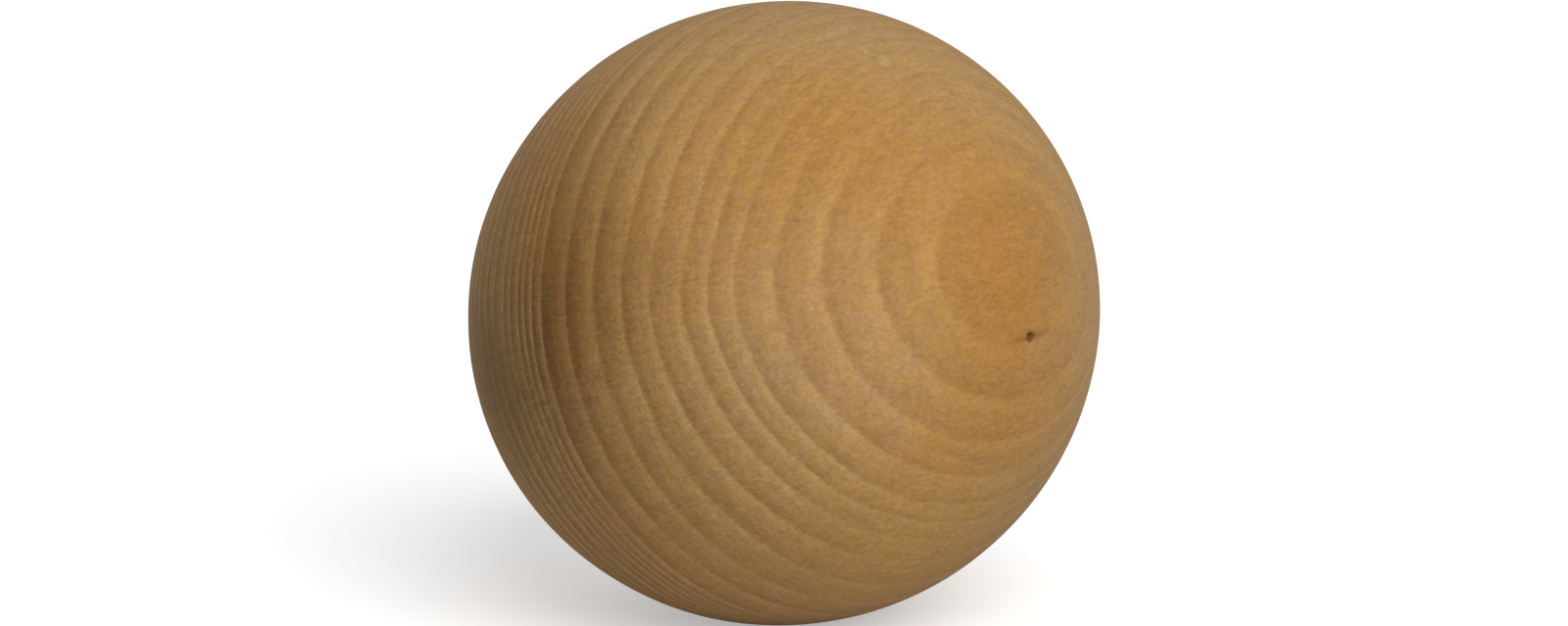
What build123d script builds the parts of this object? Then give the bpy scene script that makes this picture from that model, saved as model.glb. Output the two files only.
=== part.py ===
from build123d import *
import math
import os

# Wooden ball: one solid turned from one piece of wood.
# Millimetres, +Z up, origin at the ball's centre, front towards -Y.

# Size as turned, which the wood keeps along its grain, and the size that it has
# drawn in to across its rings, so that the ball is a little out of round.
turned_diameter = 50.0
dried_diameter = 49.0

# How far the short diameter leans from upright, towards -X.
short_diameter_lean = 27.5

# Pin knot: a tiny blind pit where a shoot died. Its turn goes round the ball from
# the front towards +X, and its rise is the angle above the level of the centre.
knot_turn = 48.2
knot_rise = 2.5
knot_mouth_width = 0.85
knot_floor_width = 0.3
knot_depth = 0.6

# The cutter stands this far out of the wood, so that it cuts the mouth clean.
knot_cutter_overrun = 0.4

# The straight line across the ball's shortest diameter.
short_axis = Vector(0, 0, 1).rotate(Axis.Y, -short_diameter_lean)


def turned_ball():
    """A round ball that has drawn in along its short diameter."""
    shrinkage = dried_diameter / turned_diameter
    dried_upright = scale(Sphere(turned_diameter / 2), by=(1, 1, shrinkage))
    return dried_upright.rotate(Axis.Y, -short_diameter_lean)


def surface_distance(direction):
    """From the centre to the ball's surface along a unit vector."""
    along_short = direction.dot(short_axis) / (dried_diameter / 2)
    along_long = direction.cross(short_axis).length / (turned_diameter / 2)
    return 1 / math.hypot(along_short, along_long)


def knot_pit():
    """Cone that narrows inwards from the mouth of the pin knot."""
    direction = Vector(0, -1, 0).rotate(Axis.X, -knot_rise).rotate(Axis.Z, knot_turn)
    floor_distance = surface_distance(direction) - knot_depth
    flare = (knot_mouth_width - knot_floor_width) / 2 / knot_depth
    cone = Cone(
        bottom_radius=knot_floor_width / 2,
        top_radius=knot_mouth_width / 2 + flare * knot_cutter_overrun,
        height=knot_depth + knot_cutter_overrun,
        align=(Align.CENTER, Align.CENTER, Align.MIN),
    )
    return Plane(origin=direction * floor_distance, z_dir=direction) * cone


def main():
    os.makedirs("parts", exist_ok=True)
    ball = turned_ball() - knot_pit()
    export_step(ball, "parts/ball.step")


if __name__ == "__main__":
    main()
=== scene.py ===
import math

import bpy
from bpy.props import FloatProperty, FloatVectorProperty, IntProperty, PointerProperty
from mathutils import Matrix, Vector


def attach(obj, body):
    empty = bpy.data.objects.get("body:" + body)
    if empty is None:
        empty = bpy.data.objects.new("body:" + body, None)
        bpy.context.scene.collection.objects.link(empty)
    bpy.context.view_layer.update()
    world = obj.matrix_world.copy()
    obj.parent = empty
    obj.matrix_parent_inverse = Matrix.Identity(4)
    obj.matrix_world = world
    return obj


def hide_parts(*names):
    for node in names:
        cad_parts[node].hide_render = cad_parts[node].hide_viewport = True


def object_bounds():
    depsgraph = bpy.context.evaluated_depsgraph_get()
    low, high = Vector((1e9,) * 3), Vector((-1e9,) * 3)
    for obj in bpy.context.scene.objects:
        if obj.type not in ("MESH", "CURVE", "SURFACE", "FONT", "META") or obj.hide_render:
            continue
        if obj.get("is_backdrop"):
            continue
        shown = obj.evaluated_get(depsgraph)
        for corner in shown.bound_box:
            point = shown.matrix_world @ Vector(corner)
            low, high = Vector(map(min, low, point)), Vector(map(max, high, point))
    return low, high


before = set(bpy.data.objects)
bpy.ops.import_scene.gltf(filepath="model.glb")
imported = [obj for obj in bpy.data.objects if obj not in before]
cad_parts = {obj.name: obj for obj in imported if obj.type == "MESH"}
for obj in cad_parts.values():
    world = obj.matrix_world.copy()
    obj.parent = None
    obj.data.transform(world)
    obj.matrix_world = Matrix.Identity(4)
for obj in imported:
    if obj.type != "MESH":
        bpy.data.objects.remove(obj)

bl_info = {
    "name": "Wooden Ball",
    "version": (1, 0, 0),
    "blender": (4, 5, 0),
    "location": "3D View > Sidebar > Ball",
    "description": "Models a turned wooden ball, its wood and a plain stage",
    "category": "Object",
}

# Metres to millimetres, which the wood's figure is measured in.
MM_PER_M = 1000.0

# The ball as the frame holds it: its box and half its sides.
FRAME_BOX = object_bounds()
HALF_BOX = (FRAME_BOX[1] - FRAME_BOX[0]) / 2

# Finer faces round the knot: reach as a multiple of its width, and cuts across each face.
KNOT_REFINEMENTS = ((3.0, 2), (1.2, 2))

# Share of the knot's width that its floor takes.
KNOT_FLOOR_SHARE = 0.35

# Growth rings from the pith outwards: where the first one that counts begins, and
# how wide each one grew, in millimetres. Good years first, then lean ones.
FIRST_RING_MM = 50.0
RING_WIDTHS_MM = (
    2.35, 2.2, 1.8, 2.25, 2.3, 2.2, 1.6, 1.75, 2.35, 2.4, 2.75, 2.7, 2.85,
    1.15, 0.9, 0.85, 1.15, 0.95, 1.6, 1.4, 1.5, 1.3, 1.2, 1.4, 1.1, 1.3, 1.15,
    1.2, 1.05, 1.3, 1.1, 1.2, 1.1, 1.2,
)

# One ring from its start (0) to its end (1): how dark the wood is.
RING_PROFILE = (
    (0.00, 0.90), (0.04, 0.45), (0.09, 0.04), (0.20, 0.06), (0.34, 0.36), (0.44, 0.54),
    (0.55, 0.52), (0.72, 0.76), (0.88, 1.00), (1.00, 0.93),
)

# Where the rings swell out of round: angle round the pith and half width of the swell in
# degrees, its height in millimetres, and whether it is on the outer rings or the inner ones.
RING_SWELLS = (
    (-18.0, 6.0, 1.1, "outer"), (19.0, 4.0, 0.5, "outer"), (7.5, 2.5, -0.2, "outer"),
    (-10.0, 5.0, -0.3, "inner"), (2.3, 3.0, 0.35, "inner"), (8.0, 2.0, -0.15, "inner"),
    (17.0, 4.0, 0.4, "inner"),
)

# Distance from the pith, in millimetres, over which the inner swells set in and over which
# the outer ones take their place.
INNER_SWELLS_MM = (56.0, 67.0)
OUTER_SWELLS_MM = (69.0, 74.0)

# Where the rings show more or less: turn and rise of the patch's middle in degrees, its
# half size in millimetres, and the share that it adds to the strength of the rings.
RING_PATCHES = (
    (44.0, 54.0, 17.0, -0.85),
    (13.0, 22.0, 10.0, 0.55),
    (92.0, 30.0, 14.0, -0.80),
    (60.0, -20.0, 11.0, -0.45),
    (-20.0, 62.0, 13.0, -0.50),
    (88.0, 5.0, 17.0, -0.85),
    (26.0, 10.0, 7.0, -0.25),
    (34.0, -44.0, 17.0, -0.65),
    (0.0, -3.0, 13.0, 0.60),
    (-46.0, 10.0, 10.0, 1.50),
    (-45.0, 3.0, 6.0, 1.00),
    (-30.0, 0.0, 8.0, -0.30),
    (-10.0, -29.0, 12.0, -0.45),
    (-16.0, 33.0, 13.0, -0.30),
)

# Broad warm and cool patches: turn and rise of the middle in degrees, half size in
# millimetres, tone, and the share of the tone in the middle. Besides the wood's own
# tones, some patches paint light: gold is painted light low on the right, heart and
# olive add painted shade on the left, and straw round the outline is a painted reflection.
COLOUR_PATCHES = (
    (44.0, 12.0, 15.0, "amber", 0.90),
    (12.0, 40.0, 16.0, "amber", 0.60),
    (46.0, -10.0, 10.0, "amber", 0.60),
    (0.0, 22.0, 13.0, "amber", 0.30),
    (-31.0, 14.0, 11.0, "amber", 0.40),
    (38.0, 30.0, 10.0, "amber", 0.45),
    (28.0, -13.0, 9.0, "amber", 0.40),
    # Olive on the far left: painted shade and greenish rim reflection, over the wood's own tone.
    (-68.0, 20.0, 9.0, "olive_wood_and_shade", 0.30),
    # Painted light: a brighter patch low on the right.
    (33.0, -42.0, 12.0, "painted_light_gold", 0.60),
    # Heart on the left: browner wood and painted shade of the side away from the lamp.
    (-42.0, 14.0, 11.0, "heart_and_shade", 0.60),
    (-43.0, 2.0, 9.0, "heart_and_shade", 0.30),
    (-44.0, -37.0, 12.0, "heart_and_shade", 0.18),
    (-57.0, 35.0, 13.0, "heart_and_shade", 0.45),
    # Olive on the far left: painted shade and greenish rim reflection, over the wood's own tone.
    (-64.0, -6.0, 14.0, "olive_wood_and_shade", 0.80),
    # Straw: cooler wood, and round the outline at the top, bottom and sides a painted pale reflection.
    (2.0, 0.0, 14.0, "straw_and_reflection", 0.60),
    (84.0, 5.0, 13.0, "straw_and_reflection", 0.70),
    (10.0, 78.0, 13.0, "straw_and_reflection", 0.75),
    (55.0, 60.0, 11.0, "straw_and_reflection", 0.40),
    (-70.0, 58.0, 10.0, "straw_and_reflection", 0.35),
    (60.0, 9.0, 8.0, "straw_and_reflection", 0.25),
    (-5.0, -72.0, 14.0, "straw_and_reflection", 0.50),
)

# Fine patterns of the wood: size in millimetres away from the pith, round it and along the
# grain, then detail and roughness. A negative size gives another pattern of that size.
FINE_PATTERNS = {
    "Fibre": ((0.4, 0.4, 2.6), 3.0, 0.6),
    "Speckle": ((0.28, 0.28, 0.5), 2.0, 0.6),
    "Pores": ((0.2, 0.2, 1.4), 0.0, 0.5),
    "Layers": ((0.45, 5.0, 14.0), 2.0, 0.6),
    "Blotch": ((0.8, 0.8, 1.4), 1.0, 0.5),
    "Hue": ((0.9, -0.9, 1.2), 2.0, 0.5),
}

# Size of a ray in millimetres away from the pith, round it and along the grain.
RAY_SIZE = (4.5, 0.22, 1.1)

# Half size in millimetres of the grain stained on both sides of the knot.
KNOT_STAIN_SIZE = (3.6, 0.5, 2.0)

# Hair-thin dark lines above the knot, along the grain: turn and rise in degrees, half
# size in millimetres, and share of the stain.
DARK_LINES = (
    (47.0, 23.1, (1.3, 0.07, 0.8), 0.45),
    (47.8, 21.8, (1.5, 0.06, 0.8), 0.35),
)

# Rubbed marks: turn and rise in degrees, direction of the long side (along the grain where
# there is none), half size in millimetres, and share of the rubbed colour.
RUBS = (
    (22.4, 68.4, None, (2.0, 0.65, 0.8), 0.60),
    (36.4, 59.0, Vector((0.41, -0.77, -0.50)), (1.1, 0.80, 0.8), 0.75),
    (32.1, 62.7, Vector((0.87, -0.33, -0.36)), (1.7, 0.50, 0.8), 0.50),
)

# The noise node stays close to its middle value. This brings it to about -1 to 1.
NOISE_GAIN = 3.2

FLOAT = "NodeSocketFloat"
VECTOR = "NodeSocketVector"
GEOMETRY = "NodeSocketGeometry"


def tint(red, green, blue):
    """A colour given as a screen shows it, 0 to 255, in the linear values of light."""
    def linear(value):
        share = value / 255
        return share / 12.92 if share <= 0.04045 else ((share + 0.055) / 1.055) ** 2.4
    return tuple(linear(value) for value in (red, green, blue))


def dried_half_diameter():
    """Half the ball's shortest diameter, which leans in the plane of X and Z."""
    return math.sqrt(HALF_BOX.x ** 2 + HALF_BOX.z ** 2 - HALF_BOX.y ** 2)


class BallShape(bpy.types.PropertyGroup):
    """Size of the ball and of its pin knot."""

    turned_diameter: FloatProperty(
        name="Turned Diameter", description="Diameter along the grain, as turned",
        default=2 * HALF_BOX.y, unit="LENGTH")
    dried_diameter: FloatProperty(
        name="Dried Diameter", description="Diameter that the wood has drawn in to across its rings",
        default=2 * dried_half_diameter(), unit="LENGTH")
    lean: FloatProperty(
        name="Lean", description="Angle from upright to the short diameter, towards -X",
        default=math.radians(27.5), subtype="ANGLE")
    first_cuts: IntProperty(
        name="First Cuts", description="Cuts across each side of the starting block", default=6)
    doublings: IntProperty(
        name="Doublings", description="Times that every face is halved on its way to round", default=4)
    knot_turn: FloatProperty(
        name="Knot Turn", description="Angle round the ball from the front towards +X",
        default=math.radians(48.2), subtype="ANGLE")
    knot_rise: FloatProperty(
        name="Knot Rise", description="Angle above the level of the centre",
        default=math.radians(2.5), subtype="ANGLE")
    knot_width: FloatProperty(
        name="Knot Width", description="Width of the knot's mouth", default=0.00085, unit="LENGTH")
    knot_depth: FloatProperty(
        name="Knot Depth", description="Depth of the knot's pit", default=0.0006, unit="LENGTH")
    unevenness: FloatProperty(
        name="Unevenness", description="How far sanding by hand leaves the surface from true",
        default=0.00006, unit="LENGTH")
    ring_relief: FloatProperty(
        name="Ring Relief", description="How far the dense wood of a ring stands proud",
        default=0.000005, unit="LENGTH")


class WoodFigure(bpy.types.PropertyGroup):
    """How the wood lies in the ball."""

    grain_turn: FloatProperty(
        name="Grain Turn", description="Direction of the grain, from +X towards +Y",
        default=math.radians(47.0), subtype="ANGLE")
    grain_rise: FloatProperty(
        name="Grain Rise", description="Slope of the grain above level",
        default=math.radians(2.8), subtype="ANGLE")
    pith_distance: FloatProperty(
        name="Pith Distance", description="From the ball's centre to the middle of the tree",
        default=0.0784, unit="LENGTH")
    pith_lift: FloatProperty(
        name="Pith Lift", description="How far above level the pith lies, seen along the grain",
        default=math.radians(15.9), subtype="ANGLE")
    slow_wobble: FloatProperty(
        name="Slow Wobble", description="How far a ring strays from its swells, in millimetres", default=0.4)
    quick_wobble: FloatProperty(
        name="Quick Wobble", description="Feathering of a ring's edge, in millimetres", default=0.18)


class WoodColours(bpy.types.PropertyGroup):
    """Colours of the bare wood, and tones that paint light, shade and reflection onto it."""

    early: FloatVectorProperty(
        name="Early Wood", description="Pale wood at the start of a ring",
        default=tint(204, 164, 103), subtype="COLOR")
    late: FloatVectorProperty(
        name="Late Wood", description="Darker wood at the end of a ring",
        default=tint(160, 113, 56), subtype="COLOR")
    amber: FloatVectorProperty(
        name="Amber", description="Warmer patches",
        default=tint(180, 126, 58), subtype="COLOR")
    # Painted light: a brighter tone low on the right, standing in for light that the lamp does not give
    # there.
    painted_light_gold: FloatVectorProperty(
        name="Gold", description="Brighter patch low on the right",
        default=tint(196, 149, 78), subtype="COLOR")
    # Partly painted shade and reflection: a darker, greenish tone on the far left, the side away from the
    # lamp, that also stands in for a greenish rim reflection.
    olive_wood_and_shade: FloatVectorProperty(
        name="Olive", description="Greener wood of the lean years",
        default=tint(131, 97, 37), subtype="COLOR")
    # Partly a painted reflection: cooler wood, and a paler, greyer tone round the ball's outline that stands
    # in for the reflection of the pale surroundings.
    straw_and_reflection: FloatVectorProperty(
        name="Straw", description="Cooler patches",
        default=tint(184, 145, 96), subtype="COLOR")
    # Partly painted shade: browner wood, and a darker tone on the left of the front, the side away from the
    # lamp.
    heart_and_shade: FloatVectorProperty(
        name="Heart", description="Browner wood on the left of the front",
        default=tint(138, 94, 38), subtype="COLOR")
    knot: FloatVectorProperty(
        name="Knot", description="Inside of the pin knot",
        default=tint(118, 74, 28), subtype="COLOR")
    knot_stain: FloatVectorProperty(
        name="Knot Stain", description="Grain stained on both sides of the knot",
        default=tint(152, 98, 50), subtype="COLOR")
    scuff: FloatVectorProperty(
        name="Scuff", description="Rubbed marks",
        default=tint(206, 170, 118), subtype="COLOR")


class WoodFinish(bpy.types.PropertyGroup):
    """How the sanded surface takes the light."""

    roughness: FloatProperty(
        name="Roughness", description="0 is polished and 1 is dull", default=0.68)
    specular: FloatProperty(
        name="Specular Level", description="Strength of the reflection", default=0.3)
    sheen: FloatProperty(
        name="Sheen Weight", description="Pale fuzz of loose fibres", default=0.04)
    sheen_roughness: FloatProperty(
        name="Sheen Roughness", description="How far the fuzz spreads the light", default=0.5)
    bump_strength: FloatProperty(
        name="Bump Strength", description="How strongly fibres and pores tilt the surface", default=0.6)
    bump_height: FloatProperty(
        name="Bump Height", description="Height of fibres and depth of pores",
        default=0.00002, unit="LENGTH", precision=6)


class StageSettings(bpy.types.PropertyGroup):
    """Camera, lamps and floor."""

    camera_distance: FloatProperty(
        name="Camera Distance", description="From the ball's centre", default=0.35, unit="LENGTH")
    camera_rise: FloatProperty(
        name="Camera Rise", description="Angle above level", default=math.radians(10.0), subtype="ANGLE")
    lens: FloatProperty(
        name="Lens", description="Focal length in millimetres", default=101.75)
    nearest: FloatProperty(
        name="Nearest", description="Nearest distance that the camera sees", default=0.01, unit="LENGTH")
    farthest: FloatProperty(
        name="Farthest", description="Farthest distance that the camera sees", default=20.0, unit="LENGTH")
    floor_size: FloatProperty(
        name="Floor Size", description="Side of the floor", default=6.0, unit="LENGTH")
    floor_tone: FloatProperty(
        name="Floor Tone", description="How bright the floor is to the ball, from 0 to 1", default=0.62)
    floor_glow: FloatProperty(
        name="Floor Glow", description="Light added to the floor as the camera sees it", default=0.4)
    floor_roughness: FloatProperty(
        name="Floor Roughness", description="0 is polished and 1 is dull", default=0.9)
    key_turn: FloatProperty(
        name="Key Turn", description="Where the main lamp stands, from the front towards +X",
        default=math.radians(25.0), subtype="ANGLE")
    key_rise: FloatProperty(
        name="Key Rise", description="Height of the main lamp above level",
        default=math.radians(36.0), subtype="ANGLE")
    key_softness: FloatProperty(
        name="Key Softness", description="Angle that the main lamp fills, seen from the ball",
        default=math.radians(50.0), subtype="ANGLE")
    key_level: FloatProperty(
        name="Key Level", description="Light of the main lamp, where 1 shows a colour as written",
        default=0.66)
    sky_level: FloatProperty(
        name="Sky Level", description="Light from all round", default=0.33)


def settings():
    """The property group that holds this ball's values."""
    return bpy.context.scene.wooden_ball


def direction(turn, rise):
    """Unit vector turned from the front (-Y) towards +X and raised above level."""
    return Vector((math.cos(rise) * math.sin(turn), -math.cos(rise) * math.cos(turn), math.sin(rise)))


def ball_point(turn, rise):
    """Point of the oval ball's surface in a direction from its centre."""
    shape = settings().shape
    way = direction(turn, rise)
    short_axis = direction(math.radians(-90), math.pi / 2 - shape.lean)
    along_short = way.dot(short_axis) / (shape.dried_diameter / 2)
    along_long = way.cross(short_axis).length / (shape.turned_diameter / 2)
    return way / math.hypot(along_short, along_long)


def wood_axes():
    """Pith point and the wood's own axes: away from the pith, round it, and along the grain."""
    figure = settings().figure
    level = math.cos(figure.grain_rise)
    grain = Vector((
        level * math.cos(figure.grain_turn),
        level * math.sin(figure.grain_turn),
        math.sin(figure.grain_rise)))
    side = grain.cross(Vector((0, 0, 1))).normalized()
    above = side.cross(grain)
    to_pith = math.cos(figure.pith_lift) * side + math.sin(figure.pith_lift) * above
    outward = -to_pith
    return figure.pith_distance * to_pith, Matrix((outward, grain.cross(outward), grain)).transposed()


def grain_direction():
    """Unit vector along the grain."""
    return wood_axes()[1].col[2]


# Node helpers: each adds one node or a few, sets or links the inputs and gives back an output.

def feed(tree, socket, value):
    """Links an output to a socket, or sets the socket's value."""
    if isinstance(value, bpy.types.NodeSocket):
        tree.links.new(value, socket)
    else:
        socket.default_value = value


def add_node(tree, kind, inputs=None, **choices):
    """Adds a node with its choices made and its named inputs fed."""
    node = tree.nodes.new(kind)
    for name, choice in choices.items():
        setattr(node, name, choice)
    for name, value in (inputs or {}).items():
        feed(tree, node.inputs[name], value)
    return node


def calc(tree, operation, *values):
    """A sum on numbers."""
    node = add_node(tree, "ShaderNodeMath", operation=operation)
    for socket, value in zip(node.inputs, values):
        feed(tree, socket, value)
    return node.outputs["Value"]


def vector_calc(tree, operation, *values):
    """A sum on vectors. SCALE takes its number last."""
    node = add_node(tree, "ShaderNodeVectorMath", operation=operation)
    sockets = [node.inputs[0], node.inputs["Scale"]] if operation == "SCALE" else node.inputs
    for socket, value in zip(sockets, values):
        feed(tree, socket, value)
    gives_number = operation in ("LENGTH", "DOT_PRODUCT")
    return node.outputs["Value" if gives_number else "Vector"]


def spread(tree, value, low, high, new_low=0.0, new_high=1.0, smooth=False):
    """Spreads low..high over new_low..new_high and stops there."""
    node = add_node(
        tree, "ShaderNodeMapRange",
        {"Value": value, "From Min": low, "From Max": high, "To Min": new_low, "To Max": new_high},
        clamp=True, interpolation_type="SMOOTHSTEP" if smooth else "LINEAR")
    return node.outputs["Result"]


def bell(tree, value, middle, half_width):
    """A smooth hump: 1 in the middle, falling away to 0 on both sides."""
    off = calc(tree, "DIVIDE", calc(tree, "SUBTRACT", value, middle), half_width)
    return calc(tree, "EXPONENT", calc(tree, "MULTIPLY", calc(tree, "MULTIPLY", off, off), -1.0))


def noise(tree, place, detail=2.0, roughness=0.5):
    """Smooth noise with its mean taken off, so that it runs from about -1 to 1."""
    node = add_node(
        tree, "ShaderNodeTexNoise",
        {"Vector": place, "Scale": 1.0, "Detail": detail, "Roughness": roughness},
        noise_dimensions="3D")
    return calc(tree, "MULTIPLY", calc(tree, "SUBTRACT", node.outputs["Fac"], 0.5), NOISE_GAIN)


def round_noise(tree, position, size_mm, detail=2.0):
    """Noise with no grain to it. A negative size gives another pattern of the same size."""
    return noise(tree, vector_calc(tree, "SCALE", position, MM_PER_M / size_mm), detail)


def stretched(tree, place, x, y, z):
    """The place divided by a length in millimetres along each of the wood's axes."""
    return vector_calc(tree, "DIVIDE", place, (x, y, z))


def blend_colours(tree, share, first, second, mode="MIX"):
    """Mixes two colours by a share."""
    node = add_node(tree, "ShaderNodeMix", data_type="RGBA", blend_type=mode)
    feed(tree, node.inputs["Factor"], share)
    for label, colour in (("A", first), ("B", second)):
        socket = next(item for item in node.inputs if item.name == label and item.type == "RGBA")
        if not isinstance(colour, bpy.types.NodeSocket):
            colour = (*colour[:3], 1.0)
        feed(tree, socket, colour)
    return next(item for item in node.outputs if item.type == "RGBA")


def turned_back(tree, place, rotation):
    """A place as seen from axes that have been rotated."""
    node = add_node(
        tree, "ShaderNodeVectorRotate", {"Vector": place, "Rotation": rotation},
        rotation_type="EULER_XYZ", invert=True)
    return node.outputs["Vector"]


def wood_place(tree, position):
    """Object position in metres, as millimetres in the wood's own axes with the pith at 0, 0."""
    pith, axes = wood_axes()
    from_pith = vector_calc(tree, "SUBTRACT", position, tuple(pith))
    return vector_calc(tree, "SCALE", turned_back(tree, from_pith, tuple(axes.to_euler())), MM_PER_M)


def across_grain(tree, place):
    """Distance from the pith line, straight across the grain."""
    return vector_calc(tree, "LENGTH", vector_calc(tree, "MULTIPLY", place, (1, 1, 0)))


def angle_round_pith(tree, place):
    """Angle round the pith in radians."""
    split = add_node(tree, "ShaderNodeSeparateXYZ", {"Vector": place}).outputs
    return calc(tree, "ARCTAN2", split["Y"], split["X"])


def ring_swell(tree, place, radius):
    """How far the rings stand out of round here, in millimetres."""
    angle = calc(tree, "DEGREES", angle_round_pith(tree, place))
    outer = spread(tree, radius, *OUTER_SWELLS_MM, smooth=True)
    not_outer = calc(tree, "SUBTRACT", 1.0, outer)
    inner = calc(tree, "MULTIPLY", not_outer, spread(tree, radius, *INNER_SWELLS_MM))
    shares = {"outer": outer, "inner": inner}
    total = 0.0
    for middle, half_width, height, zone in RING_SWELLS:
        swell = calc(tree, "MULTIPLY", bell(tree, angle, middle, half_width), height)
        total = calc(tree, "MULTIPLY_ADD", swell, shares[zone], total)
    return total


def pith_distance(tree, place):
    """Distance from the pith, with the tree's own irregular growth taken off."""
    figure = settings().figure
    radius = across_grain(tree, place)
    radius = calc(tree, "SUBTRACT", radius, ring_swell(tree, place, radius))
    slow = noise(tree, stretched(tree, place, 15, 15, 60), detail=1.0)
    quick = noise(tree, stretched(tree, place, 0.5, 0.5, 3.5), detail=3.0, roughness=0.6)
    strayed = calc(tree, "MULTIPLY_ADD", slow, figure.slow_wobble / 2, radius)
    return calc(tree, "MULTIPLY_ADD", quick, figure.quick_wobble / 2, strayed)


def ring_age(tree, radius):
    """Which year the wood grew in, as a number whose fraction runs through the year."""
    reach = sum(RING_WIDTHS_MM)
    curve = tree.nodes.new("ShaderNodeFloatCurve")
    points = curve.mapping.curves[0].points
    grown = 0.0
    for year, width in enumerate(RING_WIDTHS_MM[:-1], start=1):
        grown += width
        points.new(grown / reach, year / len(RING_WIDTHS_MM))
    for point in points:
        point.handle_type = "VECTOR"
    curve.mapping.update()
    feed(tree, curve.inputs["Value"], spread(tree, radius, FIRST_RING_MM, FIRST_RING_MM + reach))
    return calc(tree, "MULTIPLY", curve.outputs["Value"], float(len(RING_WIDTHS_MM)))


def ring_darkness(tree, age):
    """How dark the wood is in its year, 0 pale to 1 dark."""
    ramp = add_node(tree, "ShaderNodeValToRGB", {"Fac": calc(tree, "FRACT", age)})
    elements = ramp.color_ramp.elements
    elements[0].position, elements[1].position = RING_PROFILE[0][0], RING_PROFILE[-1][0]
    for place, _ in RING_PROFILE[1:-1]:
        elements.new(place)
    for element, (_, dark) in zip(elements, RING_PROFILE):
        element.color = (dark, dark, dark, 1.0)
    return ramp.outputs["Color"]


def new_group(kind, name, inputs, outputs):
    """A node group with named inputs and outputs. Gives the group, its inputs and its end node."""
    group = bpy.data.node_groups.new(name, kind)
    for in_out, sockets in (("INPUT", inputs), ("OUTPUT", outputs)):
        for label, socket_type, *default in sockets:
            socket = group.interface.new_socket(name=label, in_out=in_out, socket_type=socket_type)
            if default:
                socket.default_value = default[0]
    start = group.nodes.new("NodeGroupInput")
    end = group.nodes.new("NodeGroupOutput")
    return group, start.outputs, end.inputs


def rings_group():
    """Growth rings: how dark each point is and how far out in the tree it grew."""
    group, given, result = new_group(
        "ShaderNodeTree", "Growth Rings",
        [("Position", VECTOR)],
        [("Darkness", FLOAT), ("Radius", FLOAT)])
    radius = pith_distance(group, wood_place(group, given["Position"]))
    feed(group, result["Darkness"], ring_darkness(group, ring_age(group, radius)))
    feed(group, result["Radius"], radius)
    return group


def fibres_group():
    """Fibres and pores, drawn out along the grain."""
    group, given, result = new_group(
        "ShaderNodeTree", "Fibres And Pores",
        [("Position", VECTOR)],
        [(name, FLOAT) for name in FINE_PATTERNS])
    place = wood_place(group, given["Position"])
    for name, (size, detail, roughness) in FINE_PATTERNS.items():
        pattern = noise(group, stretched(group, place, *size), detail, roughness)
        if name == "Pores":
            pattern = spread(group, pattern, 0.55, 1.0, smooth=True)
        feed(group, result[name], pattern)
    return group


def rays_group():
    """Rays: thin bands that run out from the pith, seen as short flecks."""
    group, given, result = new_group(
        "ShaderNodeTree", "Rays",
        [("Position", VECTOR)],
        [("Rays", FLOAT)])
    place = wood_place(group, given["Position"])
    along = add_node(group, "ShaderNodeSeparateXYZ", {"Vector": place}).outputs["Z"]
    pith_to_centre = settings().figure.pith_distance * MM_PER_M
    arc = calc(group, "MULTIPLY", angle_round_pith(group, place), pith_to_centre)
    polar = add_node(
        group, "ShaderNodeCombineXYZ", {"X": across_grain(group, place), "Y": arc, "Z": along})
    flecks = noise(group, stretched(group, polar.outputs["Vector"], *RAY_SIZE), detail=1.0)
    feed(group, result["Rays"], flecks)
    return group


def mark_group():
    """A soft-edged mark on the surface, of a given place, turn and half size in millimetres."""
    group, given, result = new_group(
        "ShaderNodeTree", "Surface Mark",
        [("Position", VECTOR), ("Centre", VECTOR), ("Turn", VECTOR),
         ("Half Size", VECTOR, (1, 1, 1)), ("Core", FLOAT, 0.3)],
        [("Mask", FLOAT)])
    offset = vector_calc(group, "SUBTRACT", given["Position"], given["Centre"])
    in_mm = vector_calc(group, "SCALE", turned_back(group, offset, given["Turn"]), MM_PER_M)
    reach = vector_calc(group, "LENGTH", vector_calc(group, "DIVIDE", in_mm, given["Half Size"]))
    feed(group, result["Mask"], spread(group, reach, 1.0, given["Core"], smooth=True))
    return group


def put_group(tree, group, **inputs):
    """Places a node group. Input names take an underscore for a space. Gives its outputs."""
    node = add_node(tree, "ShaderNodeGroup", node_tree=group)
    for name, value in inputs.items():
        feed(tree, node.inputs[name.replace("_", " ")], value)
    return node.outputs


class WoodMarks:
    """Places marks on the ball in one material. A mark's core is the share that is full."""

    def __init__(self, tree, position):
        self.tree = tree
        self.position = position
        self.group = mark_group()
        self.grain = grain_direction()

    def mark(self, turn, rise, half_size, core=0.3, along=None):
        """Mask of a mark, with its long side along a direction or else along the grain."""
        centre = ball_point(math.radians(turn), math.radians(rise))
        outward = centre.normalized()
        along = self.grain if along is None else along
        long_side = (along - along.dot(outward) * outward).normalized()
        across = outward.cross(long_side)
        turned = Matrix((long_side, across, outward)).transposed().to_euler()
        return put_group(
            self.tree, self.group, Position=self.position, Centre=tuple(centre), Turn=tuple(turned),
            Half_Size=half_size, Core=core)["Mask"]

    def patch(self, turn, rise, half_size, core=0.0):
        """Mask of a round patch."""
        return self.mark(turn, rise, (half_size,) * 3, core)

    def laid_over(self, colour, mask, share, tone):
        """The colour with a share of a tone where the mask is."""
        return blend_colours(self.tree, calc(self.tree, "MULTIPLY", mask, share), colour, tone)


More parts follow.
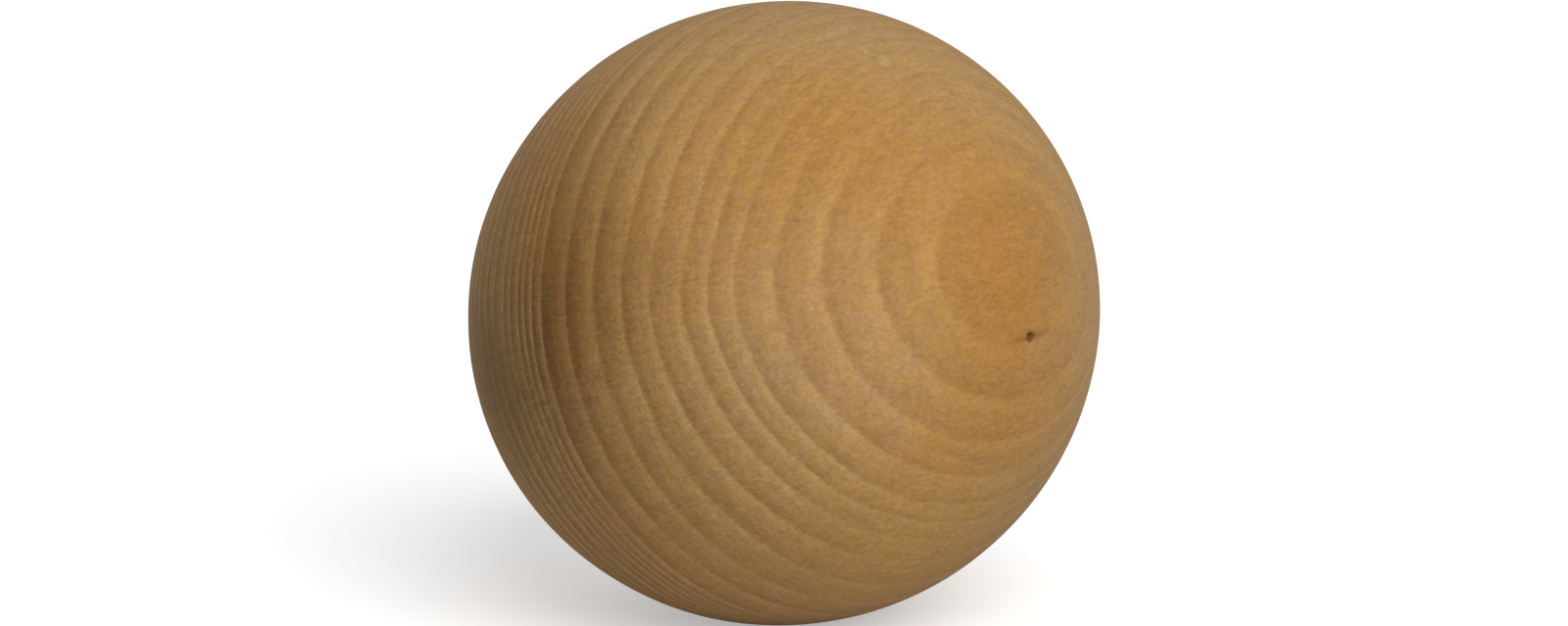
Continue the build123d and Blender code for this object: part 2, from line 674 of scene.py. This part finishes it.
def ring_strength(tree, position, radius, marks):
    """Rings are faint near the pith, strong in the lean years, and come and go."""
    away_from_pith = spread(tree, radius, 55, 72, 0.40, 0.68)
    lean_years = spread(tree, radius, 84, 90, 1.0, 1.25)
    coming_and_going = spread(tree, round_noise(tree, position, -5), -0.7, 0.7, 0.45, 1.4)
    strength = calc(tree, "MULTIPLY", away_from_pith, lean_years)
    strength = calc(tree, "MULTIPLY", strength, coming_and_going)
    for turn, rise, half_size, share in RING_PATCHES:
        patch = marks.patch(turn, rise, half_size, core=0.2)
        strength = calc(tree, "MULTIPLY", strength, calc(tree, "MULTIPLY_ADD", patch, share, 1.0))
    return strength


def patchy_colour(tree, position, radius, colour, marks):
    """Lays the broad patches over a colour, some of them painted light, shade and reflection, and then the
    brown of the last good years on the left of the front, partly painted shade.
    """
    colours = settings().colours
    for turn, rise, half_size, tone, share in COLOUR_PATCHES:
        colour = marks.laid_over(colour, marks.patch(turn, rise, half_size), share, getattr(colours, tone))
    warm = spread(tree, round_noise(tree, position, 13), 0.0, 1.0, 0.0, 0.35)
    colour = blend_colours(tree, warm, colour, colours.amber)
    cool = spread(tree, round_noise(tree, position, -9), 0.1, 1.0, 0.0, 0.30)
    colour = blend_colours(tree, cool, colour, colours.straw_and_reflection)
    # Brown band of the last good years on the left of the front: browner wood, and painted shade of the side
    # away from the lamp.
    last_years = bell(tree, radius, 78.0, 1.7)
    left_of_front = marks.patch(-50.0, 4.0, 16.0, core=0.2)
    browned_and_shaded = calc(tree, "MULTIPLY", last_years, left_of_front)
    return marks.laid_over(colour, browned_and_shaded, 0.5, colours.heart_and_shade)


def fine_shade(tree, position, ring_swing, fibres):
    """Light and dark as a factor: end grain and late wood drink the light in, and fibres,
    pores, rays and the layers within a ring vary it."""
    rays = put_group(tree, rays_group(), Position=position)["Rays"]
    outward = vector_calc(tree, "NORMALIZE", position)
    facing = calc(tree, "ABSOLUTE", vector_calc(tree, "DOT_PRODUCT", outward, tuple(grain_direction())))
    shade = 1.0
    for value, share in (
            (calc(tree, "POWER", facing, 6.0), -0.25),
            (ring_swing, -0.12),
            (fibres["Fibre"], 0.06),
            (fibres["Speckle"], 0.20),
            (fibres["Layers"], 0.08),
            (fibres["Blotch"], 0.08),
            (rays, spread(tree, facing, 0.5, 0.95, 0.02, 0.09)),
            (fibres["Pores"], -0.07)):
        shade = calc(tree, "MULTIPLY_ADD", value, share, shade)
    return shade


def marked_colour(tree, speckle, colour, marks):
    """Adds the knot with its stain, the dark lines above it and the rubbed marks."""
    colours = settings().colours
    shape = settings().shape
    knot_turn, knot_rise = math.degrees(shape.knot_turn), math.degrees(shape.knot_rise)
    half_knot = shape.knot_width * MM_PER_M / 2
    stain = marks.mark(knot_turn, knot_rise, KNOT_STAIN_SIZE, core=0.0)
    colour = marks.laid_over(colour, stain, 0.85, colours.knot_stain)
    pit_size = (half_knot * 1.5, half_knot * 1.25, KNOT_STAIN_SIZE[2])
    colour = blend_colours(tree, marks.mark(knot_turn, knot_rise, pit_size, core=0.5), colour, colours.knot)
    for turn, rise, half_size, share in DARK_LINES:
        colour = marks.laid_over(colour, marks.mark(turn, rise, half_size), share, colours.knot_stain)
    breaks = spread(tree, speckle, -0.5, 0.5, 0.35, 1.0)
    for turn, rise, along, half_size, share in RUBS:
        rub = calc(tree, "MULTIPLY", marks.mark(turn, rise, half_size, core=0.0, along=along), breaks)
        colour = marks.laid_over(colour, rub, share, colours.scuff)
    return colour


def surface_bump(tree, fibres):
    """Normal of the fine surface, with raised fibres and sunk pores."""
    finish = settings().finish
    height = calc(tree, "MULTIPLY_ADD", fibres["Pores"], -1.0, calc(tree, "MULTIPLY", fibres["Fibre"], 0.4))
    height = calc(tree, "MULTIPLY_ADD", fibres["Speckle"], 0.35, height)
    bump = add_node(
        tree, "ShaderNodeBump",
        {"Strength": finish.bump_strength, "Distance": finish.bump_height, "Height": height})
    return bump.outputs["Normal"]


def node_material(name):
    """A new material. Gives it with its node tree and its surface node."""
    material = bpy.data.materials.new(name)
    material.use_nodes = True
    return material, material.node_tree, material.node_tree.nodes["Principled BSDF"]


def bare_wood():
    """Material of the ball: bare sanded wood with rings, fibres, rays, a knot and scuffs."""
    colours = settings().colours
    finish = settings().finish
    material, tree, surface = node_material("Bare Wood")
    position = tree.nodes.new("ShaderNodeTexCoord").outputs["Object"]
    rings = put_group(tree, rings_group(), Position=position)
    fibres = put_group(tree, fibres_group(), Position=position)
    marks = WoodMarks(tree, position)

    strength = ring_strength(tree, position, rings["Radius"], marks)
    swing = calc(tree, "MULTIPLY", calc(tree, "SUBTRACT", rings["Darkness"], 0.5), strength)
    colour = blend_colours(tree, calc(tree, "ADD", swing, 0.5), colours.early, colours.late)
    colour = patchy_colour(tree, position, rings["Radius"], colour, marks)

    shade = fine_shade(tree, position, swing, fibres)
    blue = calc(tree, "MULTIPLY_ADD", fibres["Hue"], 0.25, shade)
    tinge = add_node(tree, "ShaderNodeCombineXYZ", {"X": shade, "Y": shade, "Z": blue}).outputs["Vector"]
    colour = blend_colours(tree, 1.0, colour, tinge, mode="MULTIPLY")
    colour = marked_colour(tree, fibres["Speckle"], colour, marks)

    for name, value in (
            ("Base Color", colour),
            ("Roughness", calc(tree, "MULTIPLY_ADD", fibres["Fibre"], 0.03, finish.roughness)),
            ("Normal", surface_bump(tree, fibres)),
            ("Specular IOR Level", finish.specular),
            ("Sheen Weight", finish.sheen),
            ("Sheen Roughness", finish.sheen_roughness)):
        feed(tree, surface.inputs[name], value)
    return material


def pale_stage():
    """Material of the floor: white to the camera but for the ball's shadow, greyer to the ball."""
    stage = settings().stage
    material, tree, surface = node_material("Pale Stage")
    seen = tree.nodes.new("ShaderNodeLightPath").outputs["Is Camera Ray"]
    white = (1.0, 1.0, 1.0)
    for name, value in (
            ("Base Color", blend_colours(tree, seen, (stage.floor_tone,) * 3, white)),
            ("Emission Color", (*white, 1.0)),
            ("Emission Strength", calc(tree, "MULTIPLY", seen, stage.floor_glow)),
            ("Roughness", stage.floor_roughness),
            ("Specular IOR Level", 0.0)):
        feed(tree, surface.inputs[name], value)
    return material


def relief_group():
    """Geometry: raises dense wood and leaves the slight flats of hand sanding."""
    shape = settings().shape
    group, given, result = new_group(
        "GeometryNodeTree", "Sanded Relief",
        [("Geometry", GEOMETRY)],
        [("Geometry", GEOMETRY)])
    position = group.nodes.new("GeometryNodeInputPosition").outputs["Position"]
    normal = group.nodes.new("GeometryNodeInputNormal").outputs["Normal"]
    radius = pith_distance(group, wood_place(group, position))
    darkness = ring_darkness(group, ring_age(group, radius))
    flats = round_noise(group, position, 9, detail=1.0)
    height = calc(group, "MULTIPLY", darkness, shape.ring_relief)
    height = calc(group, "MULTIPLY_ADD", flats, shape.unevenness / 2, height)
    move = add_node(
        group, "GeometryNodeSetPosition",
        {"Geometry": given["Geometry"], "Offset": vector_calc(group, "SCALE", normal, height)})
    feed(group, result["Geometry"], move.outputs["Geometry"])
    return group


def deselect_all():
    """Nothing is selected, so the next step acts only on what it makes."""
    bpy.ops.object.select_all(action="DESELECT")


def select_faces_near(piece, centre, reach):
    """In edit mode: selects the faces whose middle is within reach of a point."""
    bpy.ops.mesh.select_all(action="DESELECT")
    bpy.ops.object.mode_set(mode="OBJECT")
    for face in piece.data.polygons:
        face.select = (face.center - centre).length < reach
    bpy.ops.object.mode_set(mode="EDIT")


def apply_modifier(piece, kind, name, **choices):
    """Adds a modifier, makes its choices and applies it."""
    modifier = piece.modifiers.new(name, kind)
    for key, choice in choices.items():
        setattr(modifier, key, choice)
    bpy.ops.object.modifier_apply(modifier=name)


def aim(thing, place):
    """Turns a lamp or a camera at a place to face the ball's centre."""
    thing.rotation_euler = (-place).to_track_quat("-Z", "Y").to_euler()


class BALL_OT_turn(bpy.types.Operator):
    """Turns the ball from a block, draws it in as it dries and sinks its pin knot"""

    bl_idname = "ball.turn"
    bl_label = "Turn Ball"

    def execute(self, context):
        shape = settings().shape
        radius = shape.turned_diameter / 2
        shrinkage = shape.dried_diameter / shape.turned_diameter
        knot = ball_point(shape.knot_turn, shape.knot_rise)
        lean = Matrix.Rotation(-shape.lean, 3, "Y")
        knot_before_drying = Matrix.Diagonal((1, 1, 1 / shrinkage)) @ lean.inverted() @ knot

        deselect_all()
        bpy.ops.mesh.primitive_cube_add(size=2 * radius / math.sqrt(3), location=(0, 0, 0))
        ball = context.active_object
        ball.name = "turned_ball"
        bpy.ops.object.mode_set(mode="EDIT")
        bpy.ops.mesh.select_all(action="SELECT")
        bpy.ops.mesh.subdivide(number_cuts=shape.first_cuts)
        for _ in range(shape.doublings):
            bpy.ops.transform.tosphere(value=1.0)
            bpy.ops.mesh.subdivide(number_cuts=1)
        for reach, cuts in KNOT_REFINEMENTS:
            select_faces_near(ball, knot_before_drying, reach * shape.knot_width)
            bpy.ops.mesh.subdivide(number_cuts=cuts)
        bpy.ops.mesh.select_all(action="SELECT")
        bpy.ops.transform.tosphere(value=1.0)
        bpy.ops.object.mode_set(mode="OBJECT")

        ball.scale.z = shrinkage
        ball.rotation_euler.y = -shape.lean
        bpy.ops.object.transform_apply(location=True, rotation=True, scale=True)

        self.fit_size(ball, radius)
        apply_modifier(ball, "NODES", "Sanded Relief", node_group=relief_group())
        self.sink_knot(ball, knot)
        bpy.ops.object.shade_smooth()

        ball.data.materials.append(bare_wood())
        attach(ball, "root")
        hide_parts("ball")
        return {"FINISHED"}

    def fit_size(self, ball, radius):
        """Brings the round shape to the turned size, whatever the block began as."""
        reach = max(vertex.co.length for vertex in ball.data.vertices)
        ball.scale = (radius / reach,) * 3
        bpy.ops.object.transform_apply(location=True, rotation=True, scale=True)

    def sink_knot(self, ball, knot):
        """Pushes the knot in as a cone with a small flat floor."""
        shape = settings().shape
        group = ball.vertex_groups.new(name="knot")
        half_width = shape.knot_width / 2
        for vertex in ball.data.vertices:
            share = (vertex.co - knot).length / half_width
            if share < 1:
                group.add([vertex.index], min(1, (1 - share) / (1 - KNOT_FLOOR_SHARE)), "REPLACE")
        apply_modifier(
            ball, "DISPLACE", "Knot Pit", direction="NORMAL", mid_level=0.0,
            strength=-shape.knot_depth, vertex_group="knot")
        ball.vertex_groups.clear()


class BALL_OT_set_stage(bpy.types.Operator):
    """Lays the floor and sets the lamps and the camera"""

    bl_idname = "ball.set_stage"
    bl_label = "Set Stage"

    def execute(self, context):
        stage = settings().stage
        self.lay_floor(context, stage)
        self.light(context, stage)
        self.place_camera(context, stage)
        return {"FINISHED"}

    def lay_floor(self, context, stage):
        """A plain floor that the ball just touches."""
        deselect_all()
        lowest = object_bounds()[0].z
        bpy.ops.mesh.primitive_plane_add(size=stage.floor_size, location=(0, 0, lowest))
        floor = context.active_object
        floor.name = "floor"
        floor.data.materials.append(pale_stage())
        floor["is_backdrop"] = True

    def light(self, context, stage):
        """A large soft lamp up on the right, and even light from all round."""
        world = bpy.data.worlds.new("Soft Sky")
        context.scene.world = world
        world.use_nodes = True
        tree = world.node_tree
        background = tree.nodes["Background"]
        seen = tree.nodes.new("ShaderNodeLightPath").outputs["Is Camera Ray"]
        background.inputs["Color"].default_value = (1.0, 1.0, 1.0, 1.0)
        feed(tree, background.inputs["Strength"], spread(tree, seen, 0.0, 1.0, stage.sky_level, 1.0))

        deselect_all()
        place = direction(stage.key_turn, stage.key_rise)
        bpy.ops.object.light_add(type="SUN", location=place)
        lamp = context.active_object
        lamp.name = "key"
        lamp.data.angle = stage.key_softness
        lamp.data.energy = stage.key_level * math.pi
        aim(lamp, place)

    def place_camera(self, context, stage):
        """The camera looks at the ball's centre from the front, a little above level."""
        deselect_all()
        place = stage.camera_distance * direction(0.0, stage.camera_rise)
        bpy.ops.object.camera_add(location=place)
        camera = context.active_object
        camera.name = "camera"
        camera.data.lens = stage.lens
        camera.data.clip_start = stage.nearest
        camera.data.clip_end = stage.farthest
        aim(camera, place)
        context.scene.camera = camera
        context.scene.view_settings.view_transform = "Standard"


class BALL_PT_panel(bpy.types.Panel):
    """Lists the values and the steps that make the ball"""

    bl_idname = "BALL_PT_panel"
    bl_label = "Wooden Ball"
    bl_space_type = "VIEW_3D"
    bl_region_type = "UI"
    bl_category = "Ball"

    def draw(self, context):
        ball = context.scene.wooden_ball
        for group in (ball.shape, ball.figure, ball.colours, ball.finish, ball.stage):
            box = self.layout.box()
            for name in group.__annotations__:
                box.prop(group, name)
        self.layout.operator("ball.turn")
        self.layout.operator("ball.set_stage")


class WoodenBall(bpy.types.PropertyGroup):
    """All of the ball's values."""

    shape: PointerProperty(type=BallShape)
    figure: PointerProperty(type=WoodFigure)
    colours: PointerProperty(type=WoodColours)
    finish: PointerProperty(type=WoodFinish)
    stage: PointerProperty(type=StageSettings)


CLASSES = (
    BallShape, WoodFigure, WoodColours, WoodFinish, StageSettings, WoodenBall,
    BALL_OT_turn, BALL_OT_set_stage, BALL_PT_panel,
)


def register():
    for item in CLASSES:
        bpy.utils.register_class(item)
    bpy.types.Scene.wooden_ball = PointerProperty(type=WoodenBall)


def unregister():
    del bpy.types.Scene.wooden_ball
    for item in reversed(CLASSES):
        bpy.utils.unregister_class(item)


def main():
    register()
    bpy.ops.ball.turn()
    bpy.ops.ball.set_stage()


if __name__ == "__main__":
    main()
